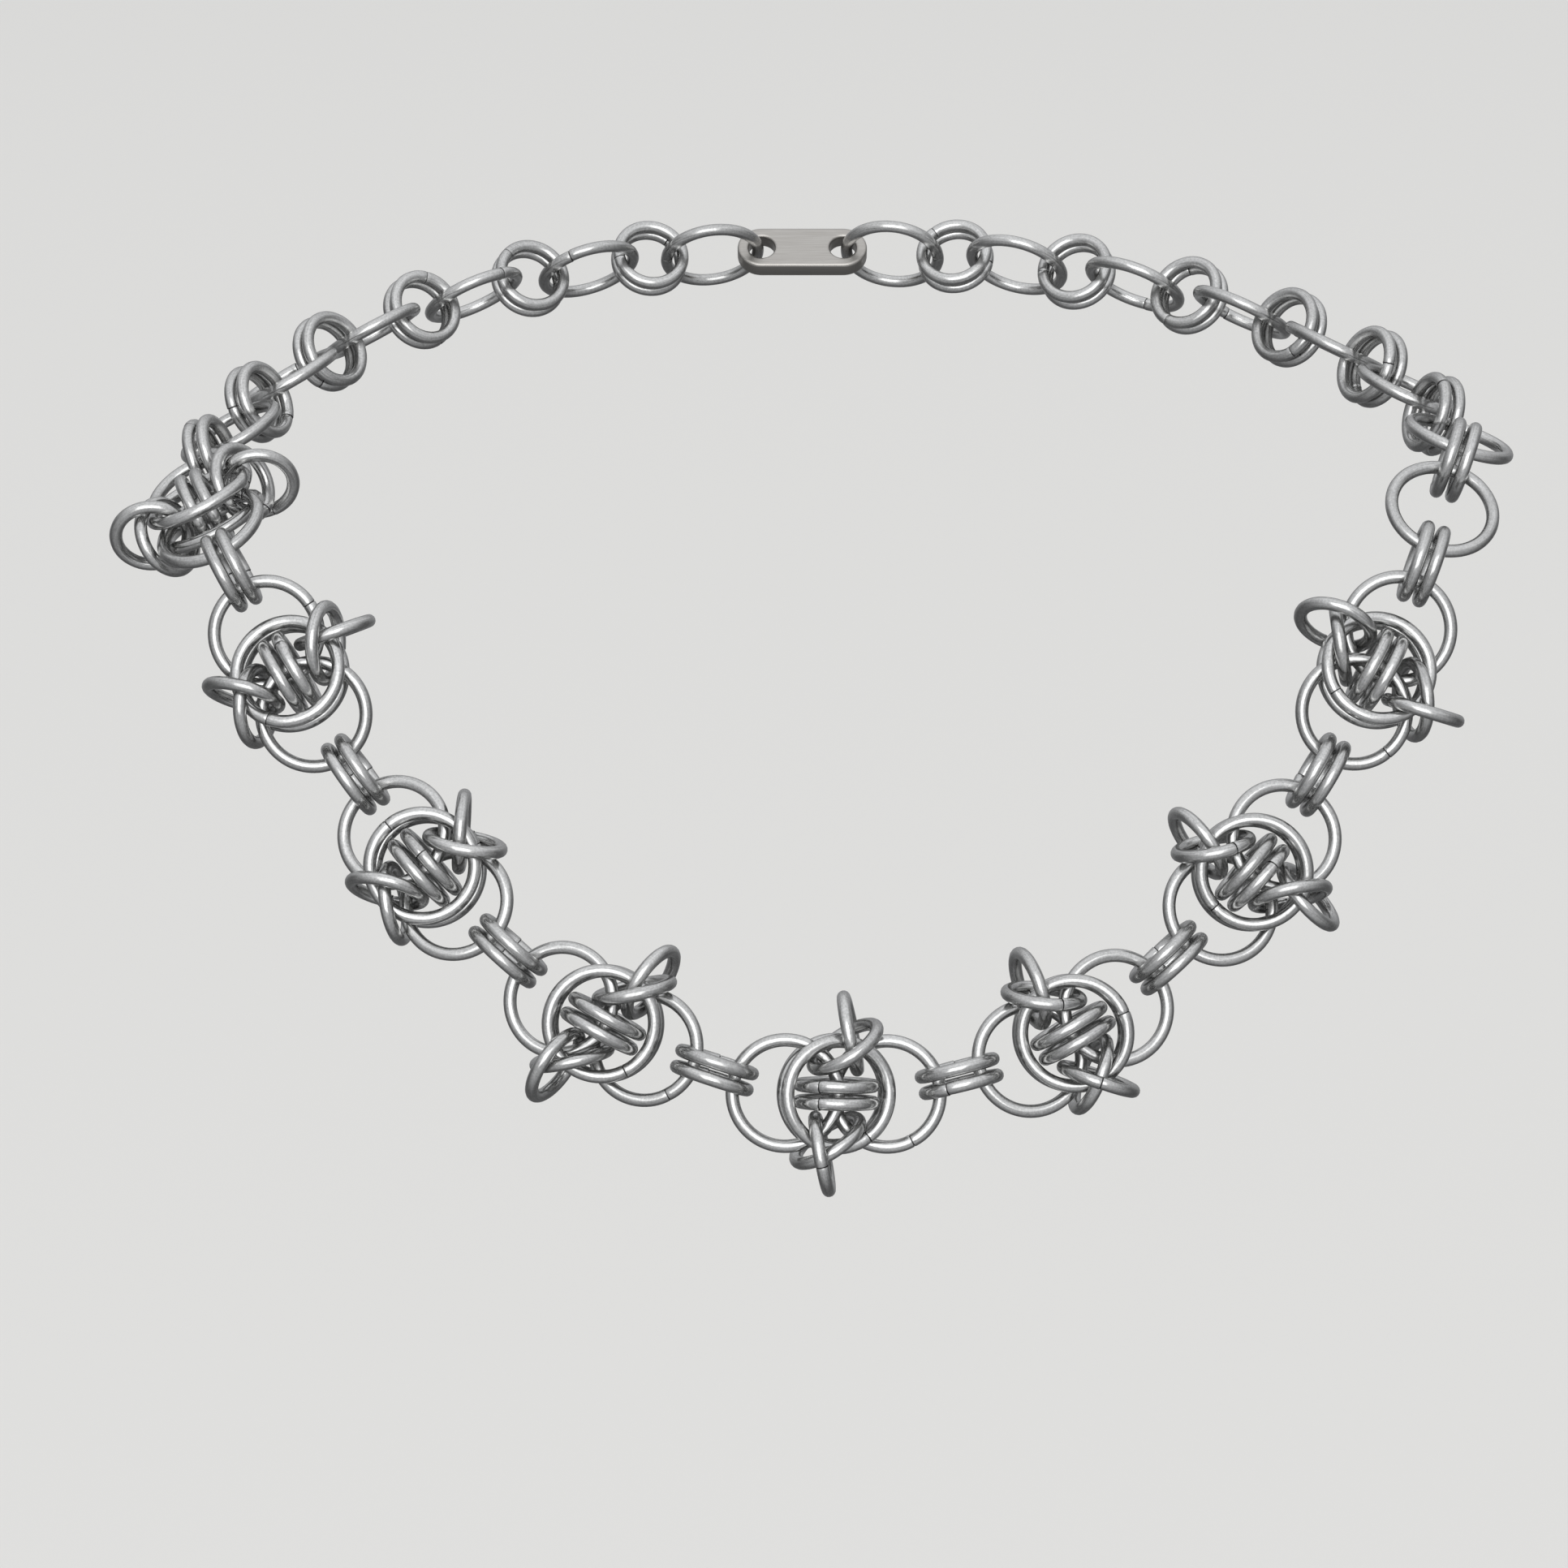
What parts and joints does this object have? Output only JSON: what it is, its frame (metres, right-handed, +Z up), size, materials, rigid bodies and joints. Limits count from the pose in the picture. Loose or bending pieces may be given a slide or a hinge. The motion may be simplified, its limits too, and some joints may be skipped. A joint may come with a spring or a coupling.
{
  "type": "chainmail necklace",
  "caption": "Chainmail necklace of butted steel jump rings: spiky ring rosettes joined by paired small rings along the front, plain ring chain and a plate clasp behind.",
  "frame": {"origin": "middle of the clasp, where the necklace lies on the nape of the neck", "axes": "+X to the wearer's left, +Y to the back, +Z up; the front lies on a chest that leans back 20 degrees from upright"},
  "size_m": [0.1734, 0.1375, 0.0882],
  "materials": {
    "steel_rings": "bright, softly scuffed from tumbling",
    "steel_clasp": "satin"
  },
  "bodies": {
    "root": {"rosette_1_side_rings": "steel_rings", "rosette_2_side_rings": "steel_rings", "rosette_3_side_rings": "steel_rings", "rosette_4_side_rings": "steel_rings", "rosette_5_side_rings": "steel_rings", "rosette_6_side_rings": "steel_rings", "rosette_7_side_rings": "steel_rings", "rosette_8_side_rings": "steel_rings", "rosette_1_cover_rings": "steel_rings", "rosette_2_cover_rings": "steel_rings", "rosette_3_cover_rings": "steel_rings", "rosette_4_cover_rings": "steel_rings", "rosette_5_cover_rings": "steel_rings", "rosette_6_cover_rings": "steel_rings", "rosette_7_cover_rings": "steel_rings", "rosette_8_cover_rings": "steel_rings", "rosette_1_core_pair": "steel_rings", "rosette_2_core_pair": "steel_rings", "rosette_3_core_pair": "steel_rings", "rosette_4_core_pair": "steel_rings", "rosette_5_core_pair": "steel_rings", "rosette_6_core_pair": "steel_rings", "rosette_7_core_pair": "steel_rings", "rosette_8_core_pair": "steel_rings", "rosette_1_barbs": "steel_rings", "rosette_2_barbs": "steel_rings", "rosette_3_barbs": "steel_rings", "rosette_4_barbs": "steel_rings", "rosette_5_barbs": "steel_rings", "rosette_6_barbs": "steel_rings", "rosette_7_barbs": "steel_rings", "rosette_8_barbs": "steel_rings", "link_pair_1": "steel_rings", "link_pair_2": "steel_rings", "link_pair_3": "steel_rings", "link_pair_4": "steel_rings", "link_pair_5": "steel_rings", "link_pair_6": "steel_rings", "link_pair_7": "steel_rings", "link_pair_8": "steel_rings", "link_pair_9": "steel_rings", "shoulder_ring_1": "steel_rings", "shoulder_ring_2": "steel_rings", "back_chain_left": "steel_rings", "back_chain_right": "steel_rings", "clasp": "steel_clasp"}
  },
  "joints": []
}
